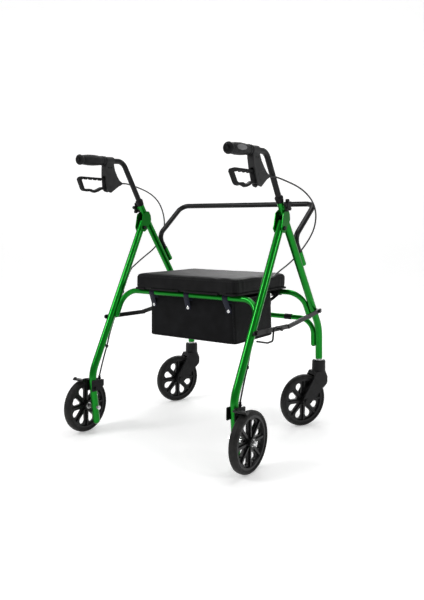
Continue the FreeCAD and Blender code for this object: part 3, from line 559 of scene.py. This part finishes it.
def bag_trim(loop, low, high):
    """Piping along the corners and bottom, a folded hem, and the loops on the front rail."""
    made = []
    per_side = len(loop) // 4

    def piping(name, points, radius, closed):
        made.append(add(name, round_cord(name, points, radius, closed), PIPING, None))

    for corner in range(4):
        a, b = loop[corner * per_side - 1], loop[corner * per_side]
        stations = [i / 14 for i in range(15)]
        points = [(bag_point(a, d, low, high) + bag_point(b, d, low, high)) / 2 for d in stations]
        piping("bag_corner_%d" % corner, points, 2.0 * MM, False)
    piping("bag_bottom_piping", [bag_point(entry, 1, low, high) for entry in loop[::2]], 2.2 * MM, True)
    piping("bag_hem", [bag_point(entry, 0.02, low, high) for entry in loop[::2]], 2.2 * MM, True)
    for x in (-0.163, 0.163):
        path = strap_path(rail_axis("seat_rail_front"), Vector((x, high.y + 1.5 * MM, 0.462)), x * 1.07, 1)
        vertices, faces = ribbon(path, 17 * MM, 1.6 * MM)
        made.append(add("bag_front_loop_%d" % round(x * 1000), mesh_from("loop", vertices, faces), PIPING,
                        None))
    return made


def strap_path(rail, end, x, side, gap=1.0 * MM):
    """Stations of a strap from inside the bag, over a rail at x, and back down to the bag's panel at end.
    side is -1 for the rear rail, where the bag lies in front of it, and 1 for the front rail."""
    radius = RAIL_RADIUS + gap
    to_end = Vector(((end.y - rail.y) * -side, end.z - rail.z))
    heading = math.atan2(to_end.y, to_end.x)
    spread = math.acos(radius / to_end.length)
    first, last = heading + spread, heading - spread + TWO_PI
    across = Vector((1, 0, 0))
    stations = []

    def put(slant, y, z, normal):
        stations.append((Vector((x + (end.x - x) * slant, y, z)), across, normal.normalized()))

    for k in range(25):
        turn = first + (last - first) * k / 24
        y = rail.y - side * radius * math.cos(turn)
        z = rail.z + radius * math.sin(turn)
        put(0, y, z, Vector((0, -side * math.cos(turn), math.sin(turn))))
    y0, z0 = stations[-1][0].y, stations[-1][0].z
    normal = stations[-1][2]
    for k in range(1, 9):
        share = k / 8
        sag = 1.2 * MM * math.sin(math.pi * share)
        put(share, y0 + (end.y - y0) * share, z0 + (end.z - z0) * share - sag, normal)
    for k in range(1, 4):
        put(1, end.y, end.z - 4 * MM * k, Vector((0, side, 0)))
    inside, across, normal = stations[0]
    foot = Vector((x, end.y, end.z + 14 * MM))
    lead = [(inside.lerp(foot, share), across, normal) for share in (0.8, 0.6, 0.4, 0.2)]
    return lead + stations


def bag_straps(cloth):
    """Webbing straps over the rear rail, each with a bright snap on the bag's rear panel."""
    rail = rail_axis("seat_rail_rear")
    for number, (over_rail, at_snap) in enumerate(STRAPS):
        panel = cloth.ray_cast(Vector((at_snap, -0.3, SNAP_Z)), Vector((0, 1, 0)))[0].y
        path = strap_path(rail, Vector((at_snap, panel - 1.1 * MM, SNAP_Z + 5 * MM)), over_rail, -1)
        vertices, faces = ribbon(path, 22 * MM, 1.5 * MM)
        add("bag_strap_%d" % number, mesh_from("strap", vertices, faces), WEBBING,
                        "rear_frame")
        snap(number, Vector((at_snap, panel - 2 * MM, SNAP_Z)))
    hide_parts("bag_straps")


def snap(number, centre):
    """Domed press stud with a rolled rim."""
    profile = [(0.0, 2.0), (2.2, 1.9), (3.6, 1.5), (4.6, 0.8), (5.2, 0.9), (5.8, 0.5), (5.9, 0.0),
               (5.0, -0.4)]
    lathe("snap_%d" % number, profile, centre, Vector((0, -1, 0)), STEEL, "rear_frame")


def lathe(name, profile, centre, axis, material, body, steps=32):
    """A turned piece from (radius, height along the axis) in millimetres."""
    turn = axis.to_track_quat("Z", "Y").to_matrix()
    vertices = []
    for radius, height in profile:
        for k in range(steps):
            angle = TWO_PI * k / steps
            p = Vector((math.cos(angle) * max(radius, 0.01), math.sin(angle) * max(radius, 0.01), height))
            vertices.append(centre + turn @ (p * MM))
    faces = grid_faces(len(profile), steps, True)
    faces += [tuple(range(steps - 1, -1, -1)), tuple(range((len(profile) - 1) * steps, len(profile) * steps))]
    return add(name, mesh_from(name, vertices, faces), material, body)


# ---------------------------------------------------------------- handle trim

SIDE_X = 293.3 * MM         # middle plane of each side frame
GRIP_END = Vector((SIDE_X, -0.3069, 0.9441))
HOUSING_TILT = math.radians(6)
TILT_CENTRE = Vector((SIDE_X, -0.170, 0.951))
HOUSING_FACE = SIDE_X + 11 * MM
GRIP_SLOPE = math.radians(2.85)


def grip_line(y):
    """Height of the grip's centre line."""
    return GRIP_END.z + (y - GRIP_END.y) * math.tan(GRIP_SLOPE)


def grip_pad(side, name):
    """Light oval pad let into the outer side of the grip."""
    vertices, rows, columns = [], 9, 36
    half_long, half_high, radius = 27 * MM, 9.5 * MM, 17.6 * MM
    for i in range(rows):
        out = i / (rows - 1)
        for k in range(columns):
            angle = TWO_PI * k / columns
            along = half_long * out * math.cos(angle)
            around = half_high * out * math.sin(angle) / radius + math.radians(12)
            lift = radius + 1.5 * MM * (1 - out ** 4) - 0.9 * MM * (along / half_long) ** 2
            y = GRIP_END.y + 52.4 * MM + along
            z = grip_line(y) + lift * math.sin(around)
            vertices.append((side * (SIDE_X + lift * math.cos(around)), y, z))
    mesh = mesh_from("grip_pad", vertices, grid_faces(rows, columns, True))
    add("grip_pad_" + name, mesh, PAD_GREY, "handle_" + name)


def grip_end(side, name):
    """Pressed-in end cap: a rolled dark rim round a dished centre with a moulding nub."""
    end_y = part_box("grip_" + name)[0].y
    centre = Vector((side * SIDE_X, end_y + 0.6 * MM, grip_line(end_y)))
    back = Vector((0, -math.cos(GRIP_SLOPE), -math.sin(GRIP_SLOPE)))
    rim = [(9.2, 0.0), (9.8, 1.0), (11.0, 1.5), (12.2, 1.0), (12.8, 0.0)]
    lathe("grip_end_rim_" + name, rim, centre, back, PLASTIC, "handle_" + name)
    dish = [(9.4, 0.7), (7.0, 0.4), (3.2, 0.3), (2.6, 0.9), (1.2, 1.1), (0.0, 1.1)]
    lathe("grip_end_dish_" + name, dish, centre, back, FORK, "handle_" + name)


def tilted(side, x, y, z):
    """A point of the brake housing's own upright frame, leaned outward with it."""
    p = Vector((x, y, z)) - TILT_CENTRE
    p = Matrix.Rotation(-HOUSING_TILT, 3, "Y") @ p + TILT_CENTRE
    return Vector((side * p.x, p.y, p.z))


def housing_trim(side, name):
    """Plain oval badge rim and the clamp screws' sockets on the housing's outer face."""
    out = tilted(side, 1, 0, 0) - tilted(side, 0, 0, 0)
    slope = math.radians(8)
    ring = []
    for k in range(28):
        a = TWO_PI * k / 28
        u, v = 26 * MM * math.cos(a), 8.6 * MM * math.sin(a)
        ring.append(tilted(side, HOUSING_FACE, -0.143 + u * math.cos(slope) - v * math.sin(slope),
                           0.882 + u * math.sin(slope) + v * math.cos(slope)))
    add("badge_rim_" + name, round_cord("badge", ring, 0.7 * MM, True), HOUSING_PAINTED_LIGHTER, "handle_" + name)
    for number, (y, z) in enumerate(((-0.176, 0.928), (-0.163, 0.929))):
        centre = tilted(side, HOUSING_FACE - 0.9 * MM, y, z)
        profile = [(1.2, 0.0), (1.3, 0.4), (2.2, 0.5), (2.7, 0.1)]
        lathe("clamp_screw_%s_%d" % (name, number), profile, centre, out.normalized(), BLACK,
              "handle_" + name)


# ---------------------------------------------------------------- brake cables

CABLE_RADIUS = 2.7 * MM
ROUTES = {
    "right": {
        "upper": [(301.2, -115.4, 875.5), (300.9, -86, 879), (305, -60, 880), (309, -38, 877.5),
                  (310, 5, 871), (313, 65, 861), (319, 122, 843), (325, 172, 812), (324, 203, 771),
                  (314, 213, 725), (298, 210, 688), (281, 196, 655), (275.5, 168, 633), (275.5, 132, 616.5)],
        "crossing": [(275.5, 132, 616.5), (275.5, 104.7, 604), (280, 25, 582), (286, -25, 567),
                     (293.3, -61, 570.7), (293.3, -75.9, 542.4)],
    },
    "left": {
        "upper": [(-301.2, -115.4, 875.5), (-300.9, -86, 879), (-305, -60, 879), (-309, -38, 876.5),
                  (-311, 3, 870), (-315, 60, 858), (-321, 112, 840), (-326, 153, 812), (-328, 178, 770),
                  (-323, 176, 728), (-316, 153, 688), (-311, 118, 660)],
        "crossing": [(-311, 118, 660), (-307.7, 94.7, 641.4), (-308, 22, 606), (-303, -25, 583),
                     (-293.3, -61, 570.7), (-293.3, -75.9, 542.4)],
    },
}
LOWER_ROUTE = [(293.3, -75.9, 542.4), (293.3, -165.3, 372), (293.3, -189, 303), (293.3, -208, 262),
               (293.3, -229, 204)]


def in_metres(route, side=1):
    return [Vector((side * x, y, z)) * MM for x, y, z in route]


def brake_cables():
    """Each cable in three lengths: the upper and crossing lengths stay where they are, the lower one rides on
    the rear frame.
    """
    crossings, lowers = [], []
    for name, side in (("right", 1), ("left", -1)):
        upper = in_metres(ROUTES[name]["upper"])
        piece = add("brake_cable_upper_" + name, round_cord("cable", upper, CABLE_RADIUS), JACKET, None)
        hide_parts("cable_upper_" + name)
        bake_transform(piece)
        over = in_metres(ROUTES[name]["crossing"])
        piece = add("brake_cable_crossing_" + name, round_cord("cable", over, CABLE_RADIUS), JACKET, None)
        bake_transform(piece)
        crossings.append(piece)
        lower = in_metres(LOWER_ROUTE, side)
        piece = add("brake_cable_lower_" + name, round_cord("cable", lower, CABLE_RADIUS), JACKET,
                    "rear_frame")
        lowers.append(piece)
    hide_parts("cable_crossings")
    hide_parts("cables_lower")


CLIP_X = 169 * MM


def brace_clip():
    """Open plastic clip on the front brace, where the folded frame snaps shut."""
    centre = rail_axis("front_brace") + Vector((CLIP_X, 0, 0))
    stations = []
    for k in range(21):
        turn = math.radians(-60 + 300 * k / 20)
        normal = Vector((0, math.cos(turn), math.sin(turn)))
        stations.append((centre + normal * (RAIL_RADIUS + 0.9 * MM), Vector((1, 0, 0)), normal))
    vertices, faces = ribbon(stations, 30 * MM, 1.4 * MM)
    add("brace_clip", mesh_from("clip", vertices, faces), PLASTIC, "front_frame")


# ---------------------------------------------------------------- studio

CAMERA_TURN = math.radians(34.76)


def studio():
    """Pale floor and backdrop, soft lights and a white world."""
    sweep = []
    for k in range(13):
        angle = math.pi / 2 * k / 12
        sweep.append((4 + 1.5 * math.sin(angle), 1.5 - 1.5 * math.cos(angle)))
    outline = [(-6, 0)] + sweep + [(5.5, 5)]
    turn = Matrix.Rotation(CAMERA_TURN, 3, "Z")
    vertices = [turn @ Vector((x, y, z)) for y, z in outline for x in (-9, 9)]
    faces = [(2 * i, 2 * i + 1, 2 * i + 3, 2 * i + 2) for i in range(len(outline) - 1)]
    mesh = mesh_from("floor", vertices, faces)
    floor = bpy.data.objects.new("floor", mesh)
    bpy.context.scene.collection.objects.link(floor)
    mesh.materials.append(studio_floor())
    for polygon in mesh.polygons:
        polygon.use_smooth = True
    lamps = [("key", (-1.6, -2.4, 2.6), 1.0, 40), ("side", (2.9, -0.2, 1.9), 0.7, 15),
             ("top", (0.3, 0.4, 3.2), 1.4, 24), ("back", (-1.2, 2.6, 2.0), 1.0, 18)]
    for name, place, size, power in lamps:
        data = bpy.data.lights.new(name, "AREA")
        data.energy = power
        data.size = size
        lamp = bpy.data.objects.new(name, data)
        lamp.location = place
        lamp.rotation_euler = (Vector((0, 0, 0.5)) - lamp.location).to_track_quat("-Z", "Y").to_euler()
        bpy.context.scene.collection.objects.link(lamp)
    world = bpy.data.worlds.new("studio")
    world.use_nodes = True
    world.node_tree.nodes["Background"].inputs["Color"].default_value = (1, 1, 1, 1)
    world.node_tree.nodes["Background"].inputs["Strength"].default_value = 0.36
    bpy.context.scene.world = world
    bpy.context.scene.view_settings.view_transform = "Standard"


def camera():
    data = bpy.data.cameras.new("camera")
    data.sensor_width = 36
    data.lens = 37.92
    eye = bpy.data.objects.new("camera", data)
    eye.location = (1.27727, -1.79869, 0.72875)
    eye.rotation_euler = (math.radians(90 - 6.69), math.radians(-0.2), CAMERA_TURN)
    bpy.context.scene.collection.objects.link(eye)
    bpy.context.scene.camera = eye


dress_frame()
seat_cushion()
bag_straps(bag())
for side, name in ((1, "right"), (-1, "left")):
    grip_pad(side, name)
    grip_end(side, name)
    housing_trim(side, name)
brake_cables()
brace_clip()
studio()
camera()
